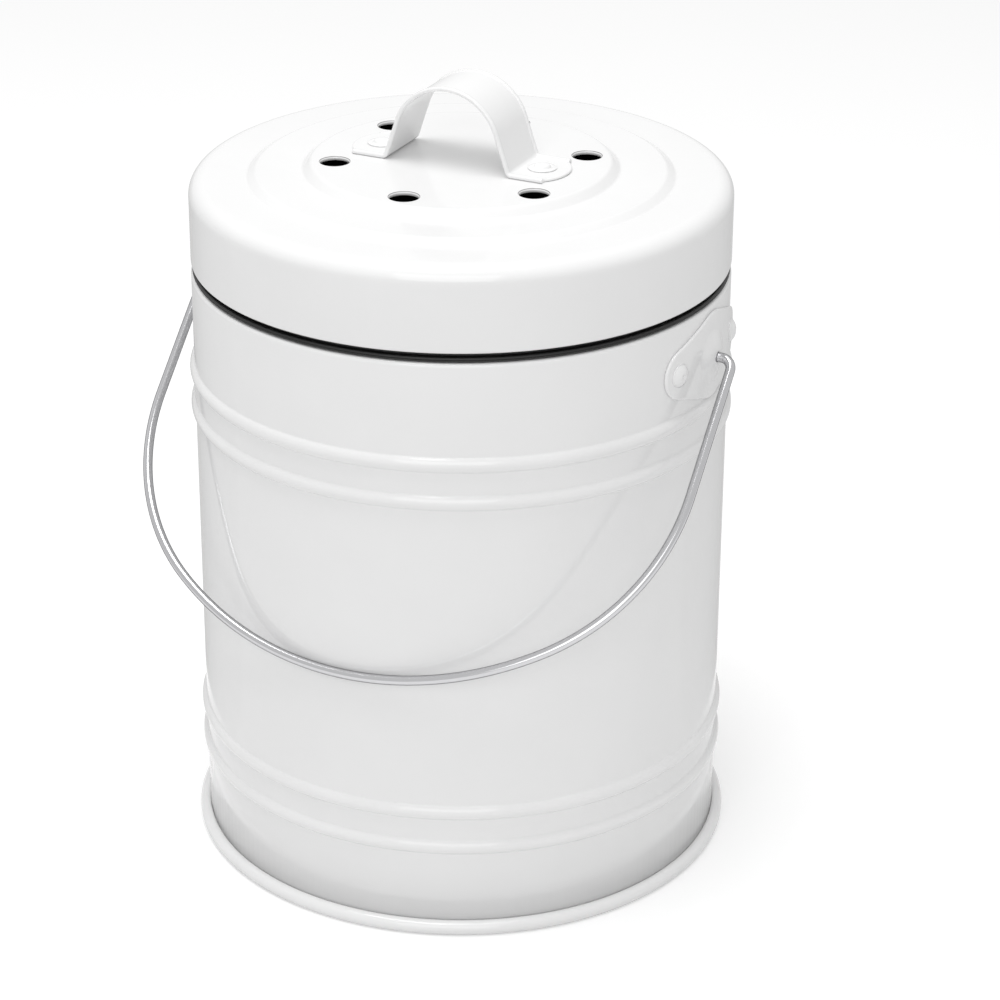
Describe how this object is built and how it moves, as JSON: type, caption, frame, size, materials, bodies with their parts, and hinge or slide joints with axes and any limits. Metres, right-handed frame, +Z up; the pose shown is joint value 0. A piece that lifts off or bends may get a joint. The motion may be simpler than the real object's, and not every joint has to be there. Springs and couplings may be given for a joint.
{
  "type": "compost caddy",
  "caption": "Round white steel compost pail with a lift-off vented lid, strap handle, black rubber seal, charcoal filter in a pull-down tray and a swinging wire bail.",
  "frame": {"origin": "centre of the foot ring on the floor", "axes": "+Z up; +X through the right-hand ear, along the bail's pivot line and the lid's strap handle; -Y is the front, where the bail hangs"},
  "size_m": [0.2018, 0.1892, 0.2722],
  "materials": {
    "enamel": "gloss",
    "bail_steel": "bright drawn",
    "seal_rubber": "matte",
    "holder_plastic": "matte",
    "charcoal_felt": "felt"
  },
  "bodies": {
    "pail": {"body_shell": "enamel", "base_pan": "enamel", "foot_ring": "enamel", "ear_right": "enamel", "ear_left": "enamel", "ear_rivet_right_front": "enamel", "ear_rivet_right_back": "enamel", "ear_rivet_left_front": "enamel", "ear_rivet_left_back": "enamel"},
    "bail": {"bail_wire": "bail_steel"},
    "lid": {"lid_shell": "enamel", "lid_centre": "enamel", "lid_collar": "enamel", "seal_ring": "seal_rubber", "lid_handle": "enamel", "lid_rivet_right": "enamel", "lid_rivet_left": "enamel"},
    "filter": {"filter_holder": "holder_plastic", "charcoal_filter": "charcoal_felt"}
  },
  "joints": [
    {"name": "bail_swing", "type": "hinge", "parent": "pail", "child": "bail", "pos_m": [0, 0, 0.19], "axis": [-1, 0, 0], "range_deg": [0, 271]},
    {"name": "lid_lift", "type": "slide", "parent": "pail", "child": "lid", "axis": [0, 0, 1], "range_m": [0, 0.06]},
    {"name": "filter_pull", "type": "slide", "parent": "lid", "child": "filter", "axis": [0, 0, -1], "range_m": [0, 0.045]}
  ]
}
